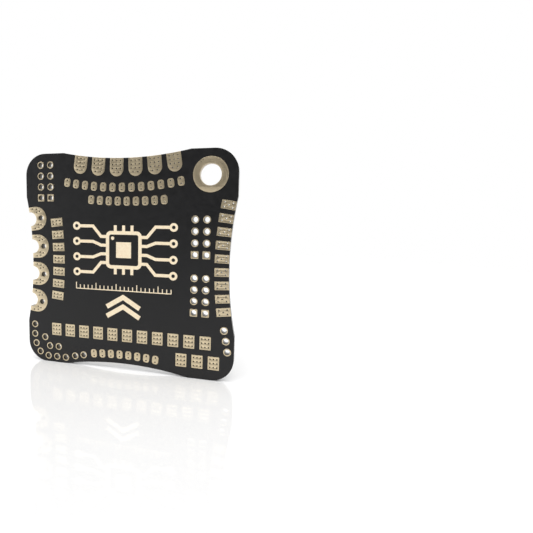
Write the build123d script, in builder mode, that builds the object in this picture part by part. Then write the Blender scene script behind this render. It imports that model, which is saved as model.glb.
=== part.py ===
# A bare soldering-practice board in the flight-controller format: a two-sided
# plated printed circuit board, 50 x 50 x 1.6 mm, with a waisted outline.
# It stands on its lower edge, component face toward -Y, +Z up; the origin is
# under the middle of the board at mid thickness.  All sizes in millimetres.
# Every sketch is drawn in (X, Z) on a sheet parallel to the board.
import math
import os

from build123d import *

os.makedirs("parts", exist_ok=True)

# Outline
board_side = 50.0
corner_radius = 5.0
waist_half_chord = 15.0
waist_depth = 1.5

# Build-up through the thickness
board_thickness = 1.6
copper_thickness = 0.07
mask_thickness = 0.03
mask_clearance = 0.06
legend_thickness = 0.04

# Plating in the holes
sleeve_wall = 0.05
via_radius = 0.15
via_wall = 0.03

# How far a pad that meets the edge is drawn past it before it is trimmed
edge_overrun = 1.0

# Mounting hole
mounting_centre = (19.18, 44.57)
mounting_hole_radius = 2.3
mounting_ring_radius = 3.75

# Pin headers, two columns by four rows, square pads in the lowest row
header_pitch = 2.54
header_pad = 1.66
header_pad_corner = 0.15
header_hole_radius = 0.6
header_a_centre = (-19.80, 43.56)
header_b_centre = (17.36, 31.28)
header_c_centre = (17.36, 18.58)

# Round-ended pads that run in from the top edge
tongue_count = 6
tongue_pitch = 4.32
tongue_shift = 0.31
tongue_width = 3.2
tongue_length = 4.05
tongue_vias = [(x, y) for x in (-0.93, 0, 0.93) for y in (-0.6, -1.45, -2.3)]
tongue_vias += [(-0.56, -3.13), (0.56, -3.13)]

# Half-moon pads round the notches in the left edge: straight flanks, full-round inner end
moon_count = 4
moon_pitch = 6.52
moon_shift = -0.12
moon_pad_radius = 2.78
moon_pad_inset = 1.58
moon_notch_radius = 1.65
moon_hole_radius = 0.6
moon_hole_inset = 2.95
moon_vias = [
    (side * along, -inward)
    for side in (-1, 1)
    for along, inward in ((2.32, 1.06), (2.14, 2.10), (1.41, 2.02), (1.61, 2.77))
]

# Rectangular pads beside the half-moons
left_pad_count = 7
left_pad_pitch = 2.92
left_pad_shift = 0.26
left_pad_inset = 6.97
left_pad_size = (1.95, 3.0)
left_pad_corner = 0.06
left_vias = [(x, y) for x in (-0.38, 0.38) for y in (-0.9, 0, 0.9)]

# Rectangular pads cut off by the right edge
right_pad_count = 9
right_pad_pitch = 2.81
right_pad_shift = -1.77
right_pad_width = 1.85
right_pad_length = 3.07
right_vias = [(0, -1.57)] + [(x, y) for x in (-0.5, 0.5) for y in (-2.45, -0.69)]

# Small rounded pads in two rows under the tongues and one at the bottom
small_pad_size = (1.47, 1.98)
small_pad_corner = 0.55
small_vias = [(0, -0.5), (0, 0.5)]
upper_row_count = 13
upper_row_pitch = 2.26
upper_row_middle = (-0.63, 42.03)
upper_row_radius = 75.0
lower_row_count = 9
lower_row_pitch = 2.16
lower_row_middle = (0.53, 38.96)
lower_row_radius = 110.0
bottom_row_count = 8
bottom_row_pitch = 2.16
bottom_row_inset = 2.07
bottom_row_shift = 0.05

# Large square-cornered wire pads
wire_pad_size = (2.48, 2.98)
wire_pad_corner = 0.12
wire_vias = [(x, y) for x in (-0.76, 0, 0.76) for y in (-0.92, 0, 0.92)]
wire_pad_pitch = 3.615
wire_row_count = 11
wire_row_centre = (0.70, 8.20)
corner_row_count = 3
corner_row_centre = (17.06, 3.87)

# Chains of plated holes round the lower corners
chain_pad_radius = 0.84
chain_hole_radius = 0.6
left_chain = [
    (-23.30, 9.00), (-23.33, 6.60), (-23.00, 4.28), (-21.90, 2.28), (-19.70, 1.41), (-17.35, 1.41),
    (-15.00, 1.41), (-12.50, 2.05), (-10.28, 2.53), (-20.55, 6.00), (-19.26, 3.91), (-16.90, 3.91),
]
right_chain = [(22.78, 11.34), (23.22, 9.02), (23.57, 6.66)]

# Printed legend: a chip symbol, a 1 mm scale and a pair of direction chevrons
chip_centre = (-0.20, 27.95)
chip_side = 8.6
chip_corner = 1.2
chip_frame = 0.8
chip_window_corner = 0.5
chip_die_side = 3.6
chip_key_place = (-2.65, 2.65)
chip_key_radius = 0.4
stub_pitch = 2.0
stub_length = 1.6
trace_width = 0.7
trace_levels = [(-3.0, -5.35), (-1.0, -1.8), (1.0, 1.8), (3.0, 5.35)]  # at the chip, at the dot
trace_root = 0.3  # how far a trace starts inside the chip's edge
trace_bends = (1.2, 3.2)  # where its slanting run starts and ends
trace_reach = 6.6
trace_dot_distance = 7.3
trace_dot_radius = 0.95
trace_dot_hole = 0.4
scale_start = (-12.0, 18.6)
scale_marks = 24
scale_stroke = 0.2
scale_long_every = 5
scale_long_mark = 1.5
scale_short_mark = 0.95
chevron_points = [(-4.3, 12.5), (-0.3, 14.9), (3.7, 12.5)]
chevron_rise = 2.2
chevron_stroke = 1.1

half = board_thickness / 2
core_half = half - copper_thickness
mask_face = core_half + mask_thickness
waist_radius = (waist_half_chord**2 + waist_depth**2) / (2 * waist_depth)
waist_centre = board_side / 2 - waist_depth + waist_radius


def sheet(level):
    """The plane at Y = level, drawn in (X, Z), facing forward."""
    return Plane(origin=(0, level, 0), x_dir=(1, 0, 0), z_dir=(0, -1, 0))


def arc_row(middle, radius, pitch, count, turn=0.0, shift=0.0):
    """Places along an arc through middle; local y points at the arc's centre."""
    places = []
    for k in range(count):
        angle = (shift + (k - (count - 1) / 2) * pitch) / radius
        offset = (radius * math.sin(angle), radius * (1 - math.cos(angle)), 0)
        step = Location(offset, (0, 0, math.degrees(angle)))
        places.append(Location((*middle, 0), (0, 0, turn)) * step)
    return places


def waist_row(turn, inset, pitch, count, shift):
    """Places that follow a waist: turn 0 is the top, 90 left, 180 bottom, 270 right."""
    reach = board_side / 2 - waist_depth - inset
    middle = (-reach * math.sin(math.radians(turn)), board_side / 2 + reach * math.cos(math.radians(turn)))
    return arc_row(middle, waist_radius + inset, pitch, count, turn, shift)


def spread(places, pattern):
    """The same pattern of points repeated at every place."""
    return [place * Location((x, y, 0)) for place in places for x, y in pattern]


def line_of(centre, pitch, count):
    return [Location((centre[0] + (k - (count - 1) / 2) * pitch, centre[1], 0)) for k in range(count)]


def header_holes(centre):
    columns = (-header_pitch / 2, header_pitch / 2)
    rows = [(k - 1.5) * header_pitch for k in range(4)]
    return spread([Location((*centre, 0))], [(x, y) for x in columns for y in rows])


with BuildSketch() as outline:
    with Locations((0, board_side / 2)):
        RectangleRounded(board_side, board_side, corner_radius)
        with PolarLocations(waist_centre, 4):
            Circle(waist_radius, mode=Mode.SUBTRACT)

tongues = waist_row(0, 0, tongue_pitch, tongue_count, tongue_shift)
moons = waist_row(90, 0, moon_pitch, moon_count, moon_shift)
left_places = waist_row(90, left_pad_inset, left_pad_pitch, left_pad_count, left_pad_shift)
right_places = waist_row(270, 0, right_pad_pitch, right_pad_count, right_pad_shift)
upper_places = arc_row(upper_row_middle, upper_row_radius, upper_row_pitch, upper_row_count)
lower_places = arc_row(lower_row_middle, lower_row_radius, lower_row_pitch, lower_row_count)
bottom_places = waist_row(180, bottom_row_inset, bottom_row_pitch, bottom_row_count, bottom_row_shift)
wire_places = line_of(wire_row_centre, wire_pad_pitch, wire_row_count)
corner_places = line_of(corner_row_centre, wire_pad_pitch, corner_row_count)


def block_pads(places, size, radius):
    def draw(grow):
        with BuildSketch() as pads:
            with Locations(*places):
                RectangleRounded(size[0] + 2 * grow, size[1] + 2 * grow, radius + grow)
        return pads.sketch

    return draw


def ring_pads(points, radius):
    def draw(grow):
        with BuildSketch() as pads:
            with Locations(*points):
                Circle(radius + grow)
        return pads.sketch

    return draw


def header_pads(centre):
    def draw(grow):
        with BuildSketch() as pads:
            with Locations((centre[0], centre[1] + header_pitch / 2)):
                with GridLocations(header_pitch, header_pitch, 2, 3):
                    Circle(header_pad / 2 + grow)
            with Locations((centre[0], centre[1] - 1.5 * header_pitch)):
                with GridLocations(header_pitch, header_pitch, 2, 1):
                    RectangleRounded(header_pad + 2 * grow, header_pad + 2 * grow, header_pad_corner + grow)
        return pads.sketch

    return draw


def round_ended(places, radius, straight):
    """Pads with straight flanks and a full-round inner end, run past the edge."""
    with BuildSketch() as pads:
        with Locations(*places):
            with Locations((0, (edge_overrun - straight) / 2)):
                Rectangle(2 * radius, straight + edge_overrun)
            with Locations((0, -straight)):
                Circle(radius)
    return pads.sketch


def tongue_pads(grow):
    return round_ended(tongues, tongue_width / 2 + grow, tongue_length - tongue_width / 2)


def moon_pads(grow):
    """Round-ended pads with the edge notch taken out of them."""
    with BuildSketch() as pads:
        add(round_ended(moons, moon_pad_radius + grow, moon_pad_inset))
        with Locations(*moons):
            Circle(moon_notch_radius, mode=Mode.SUBTRACT)
    return pads.sketch


def right_pads(grow):
    """Rectangular pads run past the right edge."""
    with BuildSketch() as pads:
        with Locations(*right_places):
            with Locations((0, (edge_overrun - right_pad_length) / 2)):
                Rectangle(right_pad_width + 2 * grow, right_pad_length + edge_overrun + 2 * grow)
    return pads.sketch


def vias(places, pattern):
    return [(spread(places, pattern), via_radius, via_wall)]


def drills(points, radius):
    return [(points, radius, sleeve_wall)]


chain_left = [Location((*point, 0)) for point in left_chain]
chain_right = [Location((*point, 0)) for point in right_chain]
mounting_place = [Location((*mounting_centre, 0))]

# Each plated group: its pads and the holes that pass through them
plated_groups = {
    "mounting_hole_plating": (
        ring_pads(mounting_place, mounting_ring_radius),
        drills(mounting_place, mounting_hole_radius),
    ),
    "top_tongue_pads": (tongue_pads, vias(tongues, tongue_vias)),
    "upper_signal_pads": (
        block_pads(upper_places, small_pad_size, small_pad_corner),
        vias(upper_places, small_vias),
    ),
    "lower_signal_pads": (
        block_pads(lower_places, small_pad_size, small_pad_corner),
        vias(lower_places, small_vias),
    ),
    "bottom_signal_pads": (
        block_pads(bottom_places, small_pad_size, small_pad_corner),
        vias(bottom_places, small_vias),
    ),
    "half_moon_pads": (
        moon_pads,
        drills(moons, moon_notch_radius)
        + drills(spread(moons, [(0, -moon_hole_inset)]), moon_hole_radius)
        + vias(moons, moon_vias),
    ),
    "left_block_pads": (
        block_pads(left_places, left_pad_size, left_pad_corner),
        vias(left_places, left_vias),
    ),
    "right_edge_pads": (right_pads, vias(right_places, right_vias)),
    "wire_pads": (block_pads(wire_places, wire_pad_size, wire_pad_corner), vias(wire_places, wire_vias)),
    "corner_wire_pads": (
        block_pads(corner_places, wire_pad_size, wire_pad_corner),
        vias(corner_places, wire_vias),
    ),
    "header_a_plating": (
        header_pads(header_a_centre),
        drills(header_holes(header_a_centre), header_hole_radius),
    ),
    "header_b_plating": (
        header_pads(header_b_centre),
        drills(header_holes(header_b_centre), header_hole_radius),
    ),
    "header_c_plating": (
        header_pads(header_c_centre),
        drills(header_holes(header_c_centre), header_hole_radius),
    ),
    "left_chain_plating": (
        ring_pads(chain_left, chain_pad_radius),
        drills(chain_left, chain_hole_radius),
    ),
    "right_chain_plating": (
        ring_pads(chain_right, chain_pad_radius),
        drills(chain_right, chain_hole_radius),
    ),
}

# Laminate core with every hole drilled out to the outside of its plating
with BuildPart() as substrate_core:
    with BuildSketch(sheet(core_half)):
        add(outline.sketch)
        for pads, holes in plated_groups.values():
            for points, radius, wall in holes:
                with Locations(*points):
                    Circle(radius + wall, mode=Mode.SUBTRACT)
    extrude(amount=2 * core_half)
substrate_core.part.label = "substrate_core"
export_step(substrate_core.part, "parts/substrate_core.step")

# Copper pads on both faces, joined through the core by a sleeve in every hole
for name, (pads, holes) in plated_groups.items():
    with BuildPart() as plating:
        for level in (half, -core_half):
            with BuildSketch(sheet(level)):
                add(pads(0))
                add(outline.sketch, mode=Mode.INTERSECT)
            extrude(amount=copper_thickness)
        for points, radius, wall in holes:
            with BuildSketch(sheet(core_half)):
                with Locations(*points):
                    Circle(radius + wall)
                add(outline.sketch, mode=Mode.INTERSECT)
            extrude(amount=2 * core_half)
        for points, radius, wall in holes:
            with BuildSketch(sheet(half)):
                with Locations(*points):
                    Circle(radius)
            extrude(amount=board_thickness, mode=Mode.SUBTRACT)
    plating.part.label = name
    export_step(plating.part, f"parts/{name}.step")

# Solder mask on each face, open round every pad
with BuildSketch() as mask_film:
    add(outline.sketch)
    for pads, holes in plated_groups.values():
        add(pads(mask_clearance), mode=Mode.SUBTRACT)
    with Locations(*moons):
        Circle(moon_notch_radius + sleeve_wall, mode=Mode.SUBTRACT)

with BuildPart() as solder_mask_front:
    with BuildSketch(sheet(-core_half)):
        add(mask_film.sketch)
    extrude(amount=mask_thickness)
solder_mask_front.part.label = "solder_mask_front"
export_step(solder_mask_front.part, "parts/solder_mask_front.step")

with BuildPart() as solder_mask_back:
    with BuildSketch(sheet(mask_face)):
        add(mask_film.sketch)
    extrude(amount=mask_thickness)
solder_mask_back.part.label = "solder_mask_back"
export_step(solder_mask_back.part, "parts/solder_mask_back.step")

# Legend: a chip outline whose legs fan out to ringed dots
chip_edge = chip_side / 2
chip_window = chip_side - 2 * chip_frame
stub_spread = chip_side + stub_length - 2 * trace_root
with BuildPart() as legend_chip:
    with BuildSketch(sheet(-mask_face)):
        with Locations(chip_centre):
            RectangleRounded(chip_side, chip_side, chip_corner)
            RectangleRounded(chip_window, chip_window, chip_window_corner, mode=Mode.SUBTRACT)
            Rectangle(chip_die_side, chip_die_side)
            with Locations(chip_key_place):
                Circle(chip_key_radius)
        for side in (-1, 1):
            for level, fan in trace_levels:
                points = [
                    (chip_edge - trace_root, level),
                    (chip_edge + trace_bends[0], level),
                    (chip_edge + trace_bends[1], fan),
                    (chip_edge + trace_reach, fan),
                ]
                with BuildLine() as leg:
                    Polyline(*[(chip_centre[0] + side * x, chip_centre[1] + y) for x, y in points])
                trace(leg.line, trace_width)
                dot_reach = side * (chip_edge + trace_dot_distance)
                with Locations((chip_centre[0] + dot_reach, chip_centre[1] + fan)):
                    Circle(trace_dot_radius)
                    Circle(trace_dot_hole, mode=Mode.SUBTRACT)
        with Locations(chip_centre):
            with GridLocations(stub_pitch, stub_spread, 3, 2):
                Rectangle(trace_width, stub_length)
    extrude(amount=legend_thickness)
legend_chip.part.label = "legend_chip"
export_step(legend_chip.part, "parts/legend_chip.step")

# Legend: a measuring scale with a longer mark every five
with BuildPart() as legend_scale:
    with BuildSketch(sheet(-mask_face)):
        with Locations(scale_start):
            Rectangle(scale_marks - 1, scale_stroke, align=(Align.MIN, Align.CENTER))
        for mark in range(scale_marks):
            with Locations((scale_start[0] + mark, scale_start[1])):
                length = scale_long_mark if mark % scale_long_every == 0 else scale_short_mark
                Rectangle(scale_stroke, length, align=(Align.CENTER, Align.MIN))
    extrude(amount=legend_thickness)
legend_scale.part.label = "legend_scale"
export_step(legend_scale.part, "parts/legend_scale.step")

# Legend: two chevrons that point at the top edge
with BuildPart() as legend_chevrons:
    with BuildSketch(sheet(-mask_face)):
        for rise in (0, chevron_rise):
            with BuildLine() as bar:
                Polyline(*[(x, z + rise) for x, z in chevron_points])
            trace(bar.line, chevron_stroke)
    extrude(amount=legend_thickness)
legend_chevrons.part.label = "legend_chevrons"
export_step(legend_chevrons.part, "parts/legend_chevrons.step")
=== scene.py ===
import cmath
import math

import bmesh
import bpy
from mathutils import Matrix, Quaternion, Vector
from mathutils.geometry import tessellate_polygon


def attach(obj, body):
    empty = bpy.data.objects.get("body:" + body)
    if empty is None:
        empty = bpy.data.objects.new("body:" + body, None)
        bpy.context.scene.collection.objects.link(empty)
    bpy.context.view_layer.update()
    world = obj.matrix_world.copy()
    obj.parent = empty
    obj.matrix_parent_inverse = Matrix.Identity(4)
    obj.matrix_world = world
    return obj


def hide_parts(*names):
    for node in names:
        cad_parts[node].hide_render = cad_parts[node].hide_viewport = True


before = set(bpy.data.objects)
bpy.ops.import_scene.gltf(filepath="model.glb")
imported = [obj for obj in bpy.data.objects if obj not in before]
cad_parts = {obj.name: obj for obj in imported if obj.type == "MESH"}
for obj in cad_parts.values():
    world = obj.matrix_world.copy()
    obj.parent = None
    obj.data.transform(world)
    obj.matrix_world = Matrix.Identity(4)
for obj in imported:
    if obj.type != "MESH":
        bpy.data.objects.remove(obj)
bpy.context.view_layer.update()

# A bare soldering-practice board, standing on its lower edge with its front face toward -Y.
# The laminate core, solder mask and legend are the CAD solids with finished materials.  The
# copper is rebuilt here as finer meshes with rolled edges, so its sizes repeat the CAD's.
# Board places are complex numbers in millimetres, X + Z j; heights through the board are Y.

MM = 0.001

# ---------------------------------------------------------------- sizes, in millimetres
BOARD_SIDE = 50.0
WAIST_HALF_CHORD = 15.0
WAIST_DEPTH = 1.5
WAIST_RADIUS = (WAIST_HALF_CHORD**2 + WAIST_DEPTH**2) / (2 * WAIST_DEPTH)
FACE = 0.80
CORE_FACE = 0.73
SHOULDER = 0.03
SLEEVE_WALL = 0.05
VIA_RADIUS = 0.15
VIA_WALL = 0.03

MOUNTING_CENTRE = 19.18 + 44.57j
MOUNTING_HOLE_RADIUS = 2.3
MOUNTING_RING_RADIUS = 3.75

HEADER_PITCH = 2.54
HEADER_PAD = 1.66
HEADER_PAD_CORNER = 0.15
HEADER_HOLE_RADIUS = 0.6
HEADER_CENTRES = {"a": -19.80 + 43.56j, "b": 17.36 + 31.28j, "c": 17.36 + 18.58j}

TONGUE_WIDTH = 3.2
TONGUE_LENGTH = 4.05
MOON_RADIUS = 2.78
MOON_INSET = 1.58
NOTCH_RADIUS = 1.65
NOTCH_MARGIN = 0.1
MOON_HOLE_RADIUS = 0.6
MOON_HOLE_INSET = 2.95
LEFT_PAD_SIZE = (1.95, 3.0)
RIGHT_PAD_SIZE = (1.85, 3.07)
SIDE_PAD_CORNER = 0.06
SMALL_PAD_SIZE = (1.47, 1.98)
SMALL_PAD_CORNER = 0.55
WIRE_PAD_SIZE = (2.48, 2.98)
WIRE_PAD_CORNER = 0.12
WIRE_PAD_PITCH = 3.615
CHAIN_PAD_RADIUS = 0.84
CHAIN_HOLE_RADIUS = 0.6
LEFT_CHAIN = (
    -23.30 + 9.00j, -23.33 + 6.60j, -23.00 + 4.28j, -21.90 + 2.28j, -19.70 + 1.41j, -17.35 + 1.41j,
    -15.00 + 1.41j, -12.50 + 2.05j, -10.28 + 2.53j, -20.55 + 6.00j, -19.26 + 3.91j, -16.90 + 3.91j,
)
RIGHT_CHAIN = (22.78 + 11.34j, 23.22 + 9.02j, 23.57 + 6.66j)

# ---------------------------------------------------------------- how finely curves are cut
# The rolls are angles round a pad's or a hole's shoulder and, like SHARP_ANGLE, in degrees.
# A step shorter than NO_LENGTH has no direction of its own.
EDGE_SEGMENTS = 4
TONGUE_EDGE_SEGMENTS = 6
TONGUE_END_SEGMENTS = 32
MOON_END_SEGMENTS = 64
NOTCH_SEGMENTS = 48
CORNER_SEGMENTS = 6
SIDE_PAD_CORNER_SEGMENTS = 4
RING_SEGMENTS = 48
HOLE_SEGMENTS = 40
VIA_SEGMENTS = 16
PAD_ROLL = (0, 30, 60, 90)
HOLE_ROLL = (0, 45, 90)
SHARP_ANGLE = 35
NO_LENGTH = 1e-6


# ---------------------------------------------------------------- places on the board
def arc_row(middle, radius, pitch, count, turn=0.0, shift=0.0):
    """(position, unit turn) pairs along an arc; local +y points at the arc's centre."""
    base = cmath.rect(1, math.radians(turn))
    places = []
    for k in range(count):
        angle = (shift + (k - (count - 1) / 2) * pitch) / radius
        step = complex(radius * math.sin(angle), radius * (1 - math.cos(angle)))
        places.append((middle + base * step, base * cmath.rect(1, angle)))
    return places


def waist_row(turn, inset, pitch, count, shift):
    """Places that follow a side's waist: turn 0 is the top, 90 left, 180 bottom, 270 right."""
    reach = BOARD_SIDE / 2 - WAIST_DEPTH - inset
    middle = BOARD_SIDE / 2 * 1j + reach * 1j * cmath.rect(1, math.radians(turn))
    return arc_row(middle, WAIST_RADIUS + inset, pitch, count, turn, shift)


def upright(points):
    return [(point, 1 + 0j) for point in points]


def line_of(centre, pitch, count):
    return upright(centre + (k - (count - 1) / 2) * pitch for k in range(count))


def grid(columns, rows):
    return [complex(x, y) for x in columns for y in rows]


# ---------------------------------------------------------------- closed outlines
def circle(centre, radius, segments):
    return [centre + cmath.rect(radius, 2 * math.pi * k / segments) for k in range(segments)]


def arc(centre, radius, start, end, segments):
    """Points from start to end, in degrees, both ends included."""
    first, span = math.radians(start), math.radians(end - start)
    return [centre + cmath.rect(radius, first + span * k / segments) for k in range(segments + 1)]


def block(size, radius, centre=0j):
    """A rectangle with rounded corners, anticlockwise."""
    x, y = size[0] / 2 - radius, size[1] / 2 - radius
    corners = ((x, y, 0), (-x, y, 90), (-x, -y, 180), (x, -y, 270))
    return [
        p
        for cx, cy, start in corners
        for p in arc(centre + complex(cx, cy), radius, start, start + 90, CORNER_SEGMENTS)
    ]


def edge_height(x):
    """Local y of the board's waist edge, x along from the place on it."""
    return WAIST_RADIUS - math.sqrt(WAIST_RADIUS**2 - x * x)


def edge_run(start, end, segments):
    """Points along the waist's edge from local x start to end."""
    xs = [start + (end - start) * k / segments for k in range(segments + 1)]
    return [complex(x, edge_height(x)) for x in xs]


def tongue_outline():
    half = TONGUE_WIDTH / 2
    end = arc(-1j * (TONGUE_LENGTH - half), half, 180, 360, TONGUE_END_SEGMENTS)
    return edge_run(half, -half, TONGUE_EDGE_SEGMENTS) + end


def right_pad_outline():
    half, length = RIGHT_PAD_SIZE[0] / 2, RIGHT_PAD_SIZE[1]
    radius = SIDE_PAD_CORNER
    near, far = complex(-half + radius, -length + radius), complex(half - radius, -length + radius)
    inner = arc(near, radius, 180, 270, SIDE_PAD_CORNER_SEGMENTS)
    inner += arc(far, radius, 270, 360, SIDE_PAD_CORNER_SEGMENTS)
    return edge_run(half, -half, EDGE_SEGMENTS) + inner


def notch_arc(radius):
    """Clockwise round the notch, from one point where it meets the board's edge to the other."""
    dip = math.degrees(math.asin(edge_height(NOTCH_RADIUS) / NOTCH_RADIUS))
    return arc(0j, radius, dip, -180 - dip, NOTCH_SEGMENTS)


def moon_outline():
    """Straight flanks and a full-round inner end, less the notch centred on the board's edge."""
    beside = NOTCH_RADIUS + NOTCH_MARGIN
    edge_before = edge_run(MOON_RADIUS, beside, EDGE_SEGMENTS)
    edge_after = edge_run(-beside, -MOON_RADIUS, EDGE_SEGMENTS)
    end = arc(-1j * MOON_INSET, MOON_RADIUS, 180, 360, MOON_END_SEGMENTS)
    return edge_before + notch_arc(NOTCH_RADIUS) + edge_after + end


def notch_sleeve_outline():
    """The plating on the notch's wall."""
    return notch_arc(NOTCH_RADIUS + SLEEVE_WALL)[::-1] + notch_arc(NOTCH_RADIUS)


# ---------------------------------------------------------------- copper meshes
def inset_loop(loop, distance):
    """The loop moved to its left by distance, with mitred corners."""
    moved = []
    for before, here, after in zip(loop[-1:] + loop[:-1], loop, loop[1:] + loop[:1]):
        way_in, way_out = here - before, after - here
        if abs(way_in) < NO_LENGTH or abs(way_out) < NO_LENGTH:
            way_in = way_out = after - before
        normal_in, normal_out = 1j * way_in / abs(way_in), 1j * way_out / abs(way_out)
        mitre = normal_in + normal_out
        moved.append(here + 2 * distance * mitre / abs(mitre) ** 2)
    return moved


class Copper:
    """Collects closed copper solids for one node: pads on both faces with plated holes."""

    def __init__(self):
        self.mesh = bmesh.new()

    def ring(self, loop, level):
        return [self.mesh.verts.new((p.real * MM, level * MM, p.imag * MM)) for p in loop]

    def wall(self, near, far):
        """Quads between two rings of the same length."""
        for k, vertex in enumerate(near):
            after = (k + 1) % len(near)
            self.mesh.faces.new((vertex, near[after], far[after], far[k]))

    def walls(self, rings):
        """Quads between each ring and the one after it."""
        for near, far in zip(rings, rings[1:]):
            self.wall(near, far)

    def cap(self, rings):
        """A flat face bounded by the first ring, with the others as holes in it."""
        flat = [[Vector((v.co.x, v.co.z, 0)) / MM for v in ring] for ring in rings]
        vertices = [v for ring in rings for v in ring]
        for corners in tessellate_polygon(flat):
            if len(set(corners)) == 3:
                self.mesh.faces.new([vertices[c] for c in corners])

    def shoulder(self, loop, side, angles):
        """Rings that roll a wall over onto the pad's face."""
        rings = []
        for angle in angles:
            inward = SHOULDER * (1 - math.cos(math.radians(angle)))
            rise = FACE - SHOULDER * (1 - math.sin(math.radians(angle)))
            rings.append(self.ring(inset_loop(loop, inward), side * rise))
        return rings

    def rolled(self, loop, side):
        """A pad's wall from the core's face up and over its shoulder; returns its foot and lip."""
        rings = [self.ring(loop, side * CORE_FACE)] + self.shoulder(loop, side, PAD_ROLL)
        self.walls(rings)
        return rings[0], rings[-1]

    def plated_pad(self, outline, holes):
        """A pad on each face, joined by the sleeves of its holes: (centre, radius, wall, segments)."""
        shoulders = {}
        for side in (-1, 1):
            foot, lip = self.rolled(outline, side)
            shoulders[side] = ([foot], [lip])
        for centre, radius, wall, segments in holes:
            bore = circle(centre, radius, segments)[::-1]
            sleeve = circle(centre, radius + wall, segments)[::-1]
            ends = {}
            for side in (-1, 1):
                rings = self.shoulder(bore, side, HOLE_ROLL)
                self.walls(rings)
                seat = self.ring(sleeve, side * CORE_FACE)
                ends[side] = (rings[0], seat)
                shoulders[side][0].append(seat)
                shoulders[side][1].append(rings[-1])
            self.wall(ends[-1][0], ends[1][0])
            self.wall(ends[-1][1], ends[1][1])
        for feet, lips in shoulders.values():
            self.cap(feet)
            self.cap(lips)

    def prism(self, outline, level):
        """A straight solid between -level and level."""
        near, far = self.ring(outline, -level), self.ring(outline, level)
        self.wall(near, far)
        self.cap([near])
        self.cap([far])

    def finish(self, name, material):
        bmesh.ops.recalc_face_normals(self.mesh, faces=self.mesh.faces)
        data = bpy.data.meshes.new(name)
        self.mesh.to_mesh(data)
        self.mesh.free()
        data.materials.append(material)
        data.shade_smooth()
        data.set_sharp_from_angle(angle=math.radians(SHARP_ANGLE))
        piece = bpy.data.objects.new(name, data)
        bpy.context.scene.collection.objects.link(piece)
        return piece


# ---------------------------------------------------------------- materials
class Nodes:
    """A material's node tree, with short calls for what the finishes below share."""

    def __init__(self, name):
        self.material = bpy.data.materials.new(name)
        self.material.use_nodes = True
        self.tree = self.material.node_tree
        self.shader = self.tree.nodes["Principled BSDF"]
        self.place = self.add("ShaderNodeTexCoord").outputs["Object"]

    def add(self, kind, **settings):
        node = self.tree.nodes.new(kind)
        for key, value in settings.items():
            setattr(node, key, value)
        return node

    def feed(self, socket, value):
        if isinstance(value, bpy.types.NodeSocket):
            self.tree.links.new(value, socket)
        else:
            socket.default_value = value

    def in_mm(self, stretch=(1, 1, 1)):
        """Object coordinates in millimetres, times a stretch per axis."""
        node = self.add("ShaderNodeMapping")
        self.feed(node.inputs["Vector"], self.place)
        node.inputs["Scale"].default_value = [factor / MM for factor in stretch]
        return node.outputs["Vector"]

    def noise(self, per_mm, detail=3.0, stretch=(1, 1, 1)):
        node = self.add("ShaderNodeTexNoise")
        self.feed(node.inputs["Vector"], self.in_mm(stretch))
        node.inputs["Scale"].default_value = per_mm
        node.inputs["Detail"].default_value = detail
        return node.outputs["Fac"]

    def wave(self, direction, scale, distortion=0.0):
        """Soft bands across an axis, 0.31 mm apart at scale 1."""
        node = self.add("ShaderNodeTexWave", wave_type="BANDS", wave_profile="SIN")
        node.bands_direction = direction
        self.feed(node.inputs["Vector"], self.in_mm())
        node.inputs["Scale"].default_value = scale
        node.inputs["Distortion"].default_value = distortion
        return node.outputs["Fac"]

    def math(self, operation, a, b=0.0):
        node = self.add("ShaderNodeMath", operation=operation)
        self.feed(node.inputs[0], a)
        self.feed(node.inputs[1], b)
        return node.outputs[0]

    def remap(self, value, low, high, to_low=0.0, to_high=1.0):
        node = self.add("ShaderNodeMapRange")
        for key, item in (("Value", value), ("From Min", low), ("From Max", high)):
            self.feed(node.inputs[key], item)
        self.feed(node.inputs["To Min"], to_low)
        self.feed(node.inputs["To Max"], to_high)
        return node.outputs["Result"]

    def mix(self, factor, a, b):
        node = self.add("ShaderNodeMix", data_type="RGBA")
        self.feed(node.inputs["Factor"], factor)
        self.feed(node.inputs["A"], a)
        self.feed(node.inputs["B"], b)
        return node.outputs["Result"]

    def facing(self):
        """1 on the board's two faces, 0 on walls that run through it."""
        split = self.add("ShaderNodeSeparateXYZ")
        self.feed(split.inputs[0], self.add("ShaderNodeNewGeometry").outputs["Normal"])
        return self.remap(self.math("ABSOLUTE", split.outputs["Y"]), low=0.35, high=0.75)

    def bump(self, height, strength, distance_mm, onto=None):
        node = self.add("ShaderNodeBump")
        node.inputs["Strength"].default_value = strength
        node.inputs["Distance"].default_value = distance_mm * MM
        self.feed(node.inputs["Height"], height)
        if onto is not None:
            self.feed(node.inputs["Normal"], onto)
        return node.outputs["Normal"]


def rgb(red, green, blue):
    return (red, green, blue, 1.0)


def solder_mask_material():
    """Black semi-gloss film: levelling waves, a faint print of the glass weave and fine grain."""
    n = Nodes("solder_mask_black")
    dark, light = rgb(0.0065, 0.0065, 0.0070), rgb(0.0105, 0.0103, 0.0108)
    clouds = n.noise(per_mm=0.16, detail=4.0)
    n.feed(n.shader.inputs["Base Color"], n.mix(clouds, dark, light))
    smears = n.noise(per_mm=0.9)
    n.feed(n.shader.inputs["Roughness"], n.remap(smears, 0.3, 0.7, to_low=0.34, to_high=0.44))
    n.shader.inputs["Specular IOR Level"].default_value = 0.42
    weave = n.math("MULTIPLY", n.wave("X", scale=0.75), n.wave("Z", scale=0.75))
    levelled = n.bump(n.noise(per_mm=0.35, detail=2.0), strength=0.25, distance_mm=0.05)
    woven = n.bump(weave, strength=0.10, distance_mm=0.008, onto=levelled)
    grained = n.bump(n.noise(per_mm=9.0, detail=2.0), strength=0.12, distance_mm=0.006, onto=woven)
    n.feed(n.shader.inputs["Normal"], grained)
    return n.material


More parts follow.
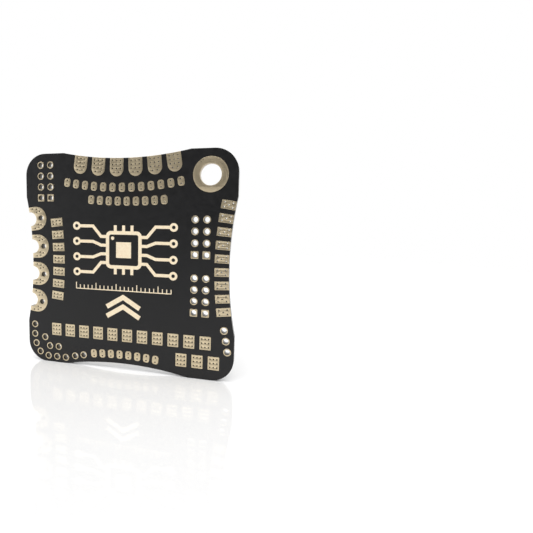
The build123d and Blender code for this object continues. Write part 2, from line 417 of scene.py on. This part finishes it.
def gold_material(name, painted_bore_shade):
    """Immersion gold over copper: pale satin and mottled, with painted shade on the walls down the holes;
    the second argument scales that wall colour, and lower is darker.
    """
    n = Nodes(name)
    mottle = n.noise(per_mm=1.1, detail=4.0)
    pale = n.mix(mottle, rgb(0.72, 0.60, 0.405), rgb(0.84, 0.715, 0.495))
    grain = n.remap(n.noise(per_mm=14.0, detail=2.0), 0.25, 0.75, to_low=0.0, to_high=0.22)
    surface = n.mix(grain, pale, rgb(0.58, 0.46, 0.29))
    # Painted shade: the hole walls get a dark gold that stands in for the little light reaching down the
    # holes, not a darker plating.
    bore = rgb(0.60 * painted_bore_shade, 0.50 * painted_bore_shade, 0.34 * painted_bore_shade)
    n.feed(n.shader.inputs["Base Color"], n.mix(n.facing(), bore, surface))
    n.shader.inputs["Metallic"].default_value = 0.85
    satin = n.noise(per_mm=2.6)
    n.feed(n.shader.inputs["Roughness"], n.remap(satin, 0.3, 0.7, to_low=0.27, to_high=0.39))
    grained = n.bump(n.noise(per_mm=18.0, detail=2.0), strength=0.22, distance_mm=0.010)
    waved = n.bump(n.noise(per_mm=1.6, detail=2.0), strength=0.20, distance_mm=0.020, onto=grained)
    n.feed(n.shader.inputs["Normal"], waved)
    return n.material


def laminate_material():
    """Routed glass-fibre laminate: pale layered edge, dark where it shows beside the pads."""
    n = Nodes("glass_fibre_laminate")
    plies = n.wave("Y", scale=1.7, distortion=1.2)
    fibres = n.noise(per_mm=1.3, detail=5.0, stretch=(0.5, 14.0, 0.5))
    edge = n.mix(plies, rgb(0.34, 0.34, 0.33), rgb(0.55, 0.55, 0.56))
    broken = n.remap(fibres, 0.35, 0.7, to_low=0.0, to_high=0.6)
    edge = n.mix(broken, edge, rgb(0.24, 0.23, 0.21))
    n.feed(n.shader.inputs["Base Color"], n.mix(n.facing(), edge, rgb(0.016, 0.015, 0.012)))
    n.shader.inputs["Roughness"].default_value = 0.72
    n.feed(n.shader.inputs["Normal"], n.bump(fibres, strength=0.5, distance_mm=0.03))
    return n.material


def legend_material():
    """Cream legend ink: matt, slightly uneven in cover, with the screen's fine dimples."""
    n = Nodes("legend_ink_cream")
    cover = n.remap(n.noise(per_mm=2.2, detail=4.0), 0.30, 0.72)
    n.feed(n.shader.inputs["Base Color"], n.mix(cover, rgb(0.93, 0.76, 0.53), rgb(1.0, 0.87, 0.64)))
    chalk = n.noise(per_mm=5.0, detail=2.0)
    n.feed(n.shader.inputs["Roughness"], n.remap(chalk, 0.3, 0.7, to_low=0.52, to_high=0.66))
    dimples = n.noise(per_mm=11.0, detail=2.0)
    n.feed(n.shader.inputs["Normal"], n.bump(dimples, strength=0.25, distance_mm=0.010))
    return n.material


def floor_material():
    """Polished white table top that fades into the white room before its rim."""
    n = Nodes("polished_white_top")
    reach = n.add("ShaderNodeVectorMath", operation="LENGTH")
    n.feed(reach.inputs[0], n.place)
    cover = n.remap(reach.outputs["Value"], FLOOR_SOLID, FLOOR_REACH, to_low=1.0, to_high=0.0)
    n.feed(n.shader.inputs["Alpha"], cover)
    clouds = n.noise(per_mm=0.02, detail=2.0)
    n.feed(n.shader.inputs["Base Color"], n.mix(clouds, rgb(0.93, 0.93, 0.93), rgb(0.95, 0.95, 0.95)))
    n.shader.inputs["Roughness"].default_value = 0.03
    n.shader.inputs["Specular IOR Level"].default_value = 0.65
    return n.material


# ---------------------------------------------------------------- copper groups
tongues = waist_row(turn=0, inset=0, pitch=4.32, count=6, shift=0.31)
moons = waist_row(turn=90, inset=0, pitch=6.52, count=4, shift=-0.12)
left_pads = waist_row(turn=90, inset=6.97, pitch=2.92, count=7, shift=0.26)
right_pads = waist_row(turn=270, inset=0, pitch=2.81, count=9, shift=-1.77)
bottom_row = waist_row(turn=180, inset=2.07, pitch=2.16, count=8, shift=0.05)
upper_row = arc_row(middle=-0.63 + 42.03j, radius=75.0, pitch=2.26, count=13)
lower_row = arc_row(middle=0.53 + 38.96j, radius=110.0, pitch=2.16, count=9)
wire_row = line_of(centre=0.70 + 8.20j, pitch=WIRE_PAD_PITCH, count=11)
corner_row = line_of(centre=17.06 + 3.87j, pitch=WIRE_PAD_PITCH, count=3)

small_pad = block(SMALL_PAD_SIZE, SMALL_PAD_CORNER)
small_vias = [-0.5j, 0.5j]
wire_pad = block(WIRE_PAD_SIZE, WIRE_PAD_CORNER)
wire_vias = grid((-0.76, 0, 0.76), (-0.92, 0, 0.92))
tongue_vias = grid((-0.93, 0, 0.93), (-0.6, -1.45, -2.3)) + [-0.56 - 3.13j, 0.56 - 3.13j]
left_pad = block(LEFT_PAD_SIZE, SIDE_PAD_CORNER)
left_vias = grid((-0.38, 0.38), (-0.9, 0, 0.9))
right_vias = [-1.57j] + grid((-0.5, 0.5), (-2.45, -0.69))
moon_vias = [
    complex(side * along, -inward)
    for side in (-1, 1)
    for along, inward in ((2.32, 1.06), (2.14, 2.10), (1.41, 2.02), (1.61, 2.77))
]


def via(centre):
    return (centre, VIA_RADIUS, VIA_WALL, VIA_SEGMENTS)


def drill(centre, radius):
    return (centre, radius, SLEEVE_WALL, HOLE_SEGMENTS)


def placed(loop, place):
    """A loop drawn round the origin, moved to a place on the board."""
    return [place[0] + place[1] * p for p in loop]


def pad_group(name, places, outline, vias, material):
    """Equal pads, each with its vias."""
    copper = Copper()
    for place in places:
        copper.plated_pad(placed(outline, place), [via(p) for p in placed(vias, place)])
    return copper.finish(name, material)


def hole_group(name, holes, material):
    """Plated holes, each in a pad of its own: (centre, outline round it, hole radius)."""
    copper = Copper()
    for centre, outline, radius in holes:
        copper.plated_pad(outline, [drill(centre, radius)])
    return copper.finish(name, material)


def ring_holes(centres, pad_radius, hole_radius):
    return [(c, circle(c, pad_radius, RING_SEGMENTS), hole_radius) for c in centres]


def header_holes(centre):
    """Two columns of four holes; the lowest row has square pads."""
    holes = []
    rows = (-1.5, -0.5, 0.5, 1.5)
    for p in grid((-0.5, 0.5), rows):
        place = centre + p * HEADER_PITCH
        if p.imag == rows[0]:
            outline = block((HEADER_PAD, HEADER_PAD), HEADER_PAD_CORNER, place)
        else:
            outline = circle(place, HEADER_PAD / 2, RING_SEGMENTS)
        holes.append((place, outline, HEADER_HOLE_RADIUS))
    return holes


def half_moons(name, material):
    """Edge pads with a plated half-round notch, a wire hole and eight vias each."""
    copper = Copper()
    for place in moons:
        holes = [via(p) for p in placed(moon_vias, place)]
        holes += [drill(p, MOON_HOLE_RADIUS) for p in placed([-1j * MOON_HOLE_INSET], place)]
        copper.plated_pad(placed(moon_outline(), place), holes)
        copper.prism(placed(notch_sleeve_outline(), place), CORE_FACE)
    return copper.finish(name, material)


# Painted shade: the two golds differ only in how dark the hole walls are painted, near black in the small
# holes and about half tone in the mounting hole.
gold_pads = gold_material("immersion_gold", painted_bore_shade=0.07)
gold_ring = gold_material("immersion_gold_ring", painted_bore_shade=0.62)

mounting = ring_holes([MOUNTING_CENTRE], MOUNTING_RING_RADIUS, MOUNTING_HOLE_RADIUS)
left_chain = ring_holes(LEFT_CHAIN, CHAIN_PAD_RADIUS, CHAIN_HOLE_RADIUS)
right_chain = ring_holes(RIGHT_CHAIN, CHAIN_PAD_RADIUS, CHAIN_HOLE_RADIUS)
copper_pieces = {
    "mounting_hole_plating": hole_group("mounting_ring_fine", mounting, gold_ring),
    "top_tongue_pads": pad_group("tongue_pads_fine", tongues, tongue_outline(), tongue_vias, gold_pads),
    "upper_signal_pads": pad_group("upper_pads_fine", upper_row, small_pad, small_vias, gold_pads),
    "lower_signal_pads": pad_group("lower_pads_fine", lower_row, small_pad, small_vias, gold_pads),
    "bottom_signal_pads": pad_group("bottom_pads_fine", bottom_row, small_pad, small_vias, gold_pads),
    "half_moon_pads": half_moons("half_moons_fine", gold_pads),
    "left_block_pads": pad_group("left_pads_fine", left_pads, left_pad, left_vias, gold_pads),
    "right_edge_pads": pad_group("right_pads_fine", right_pads, right_pad_outline(), right_vias, gold_pads),
    "wire_pads": pad_group("wire_pads_fine", wire_row, wire_pad, wire_vias, gold_pads),
    "corner_wire_pads": pad_group("corner_pads_fine", corner_row, wire_pad, wire_vias, gold_pads),
    "left_chain_plating": hole_group("left_chain_fine", left_chain, gold_pads),
    "right_chain_plating": hole_group("right_chain_fine", right_chain, gold_pads),
}
for letter, centre in HEADER_CENTRES.items():
    header = hole_group(f"header_{letter}_fine", header_holes(centre), gold_pads)
    copper_pieces[f"header_{letter}_plating"] = header
for node, piece in copper_pieces.items():
    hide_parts(node)
    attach(piece, "root")

# ---------------------------------------------------------------- finishes on the CAD nodes
finishes = {
    "substrate_core": laminate_material(),
    "solder_mask_front": solder_mask_material(),
    "legend_chip": legend_material(),
}
finishes["solder_mask_back"] = finishes["solder_mask_front"]
finishes["legend_scale"] = finishes["legend_chevrons"] = finishes["legend_chip"]
for node, material in finishes.items():
    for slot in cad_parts[node].material_slots:
        slot.material = material

# ---------------------------------------------------------------- floor, lights and camera
# The floor is solid out to FLOOR_SOLID metres from the board and gone at FLOOR_REACH.
FLOOR_SOLID = 0.12
FLOOR_REACH = 0.32
# The room's strength falls from "To Min" to "To Max" as a direction nears the middle of the dark
# flag; "From Min" and "From Max" are cosines of the angle between them.  FILL lights matt surfaces.
FLAG_DIRECTION = (-0.03, -0.95, 0.31)
FLAG_FADE = {"From Min": 0.60, "From Max": 0.93, "To Min": 1.40, "To Max": 0.0}
FILL = 0.45


def make_floor():
    data = bpy.data.meshes.new("table_top")
    far = FLOOR_REACH
    corners = [(-far, -far, 0), (far, -far, 0), (far, far, 0), (-far, far, 0)]
    data.from_pydata(corners, [], [(0, 1, 2, 3)])
    data.materials.append(floor_material())
    floor = bpy.data.objects.new("table_top", data)
    bpy.context.scene.collection.objects.link(floor)


def softbox(name, place, aim, size, power):
    """A white rectangular light at a place in metres, turned to shine at aim."""
    data = bpy.data.lights.new(name, "AREA")
    data.shape = "RECTANGLE"
    data.size, data.size_y = size
    data.energy = power
    light = bpy.data.objects.new(name, data)
    light.location = place
    light.rotation_mode = "QUATERNION"
    light.rotation_quaternion = (Vector(aim) - Vector(place)).to_track_quat("-Z", "Y")
    bpy.context.scene.collection.objects.link(light)


def make_world():
    """White where the camera sees it, brighter in reflections but for a dark flag by the camera."""
    world = bpy.data.worlds.new("studio")
    world.use_nodes = True
    bpy.context.scene.world = world
    tree = world.node_tree
    studio = tree.nodes["Background"]
    studio.inputs["Color"].default_value = rgb(0.985, 0.99, 1.0)
    ray = tree.nodes.new("ShaderNodeTexCoord")
    toward_flag = tree.nodes.new("ShaderNodeVectorMath")
    toward_flag.operation = "DOT_PRODUCT"
    toward_flag.inputs[1].default_value = Vector(FLAG_DIRECTION).normalized()
    fade = tree.nodes.new("ShaderNodeMapRange")
    fade.interpolation_type = "SMOOTHSTEP"
    for key, value in FLAG_FADE.items():
        fade.inputs[key].default_value = value
    tree.links.new(ray.outputs["Generated"], toward_flag.inputs[0])
    tree.links.new(toward_flag.outputs["Value"], fade.inputs["Value"])
    tree.links.new(fade.outputs["Result"], studio.inputs["Strength"])
    path = tree.nodes.new("ShaderNodeLightPath")
    shader = studio
    for seen, name, strength in (("Is Diffuse Ray", "fill", FILL), ("Is Camera Ray", "backdrop", 1.0)):
        plain = tree.nodes.new("ShaderNodeBackground")
        plain.name = name
        plain.inputs["Color"].default_value = rgb(1, 1, 1)
        plain.inputs["Strength"].default_value = strength
        choose = tree.nodes.new("ShaderNodeMixShader")
        tree.links.new(path.outputs[seen], choose.inputs[0])
        tree.links.new(shader.outputs[0], choose.inputs[1])
        tree.links.new(plain.outputs[0], choose.inputs[2])
        shader = choose
    tree.links.new(shader.outputs[0], tree.nodes["World Output"].inputs["Surface"])


def make_camera():
    """A little beyond the board's right edge and above its middle, with the frame shifted right."""
    data = bpy.data.cameras.new("camera")
    data.sensor_width = 36.0
    data.lens = 27.0
    data.shift_x = 0.205
    data.shift_y = -0.0255
    data.clip_start = 0.005
    data.clip_end = 10.0
    camera = bpy.data.objects.new("camera", data)
    place = Vector((31.58, -85.44, 35.80)) * MM
    aim = Vector((7.73, -FACE, 27.62)) * MM
    roll = math.radians(0.591)
    camera.location = place
    camera.rotation_mode = "QUATERNION"
    camera.rotation_quaternion = (aim - place).to_track_quat("-Z", "Y") @ Quaternion((0, 0, 1), roll)
    bpy.context.scene.collection.objects.link(camera)
    bpy.context.scene.camera = camera


make_floor()
make_world()
softbox("overhead", (0.0, -0.55, 1.30), (0, -0.30, 0), (1.60, 1.60), 20.0)
make_camera()
bpy.context.scene.view_settings.view_transform = "Standard"
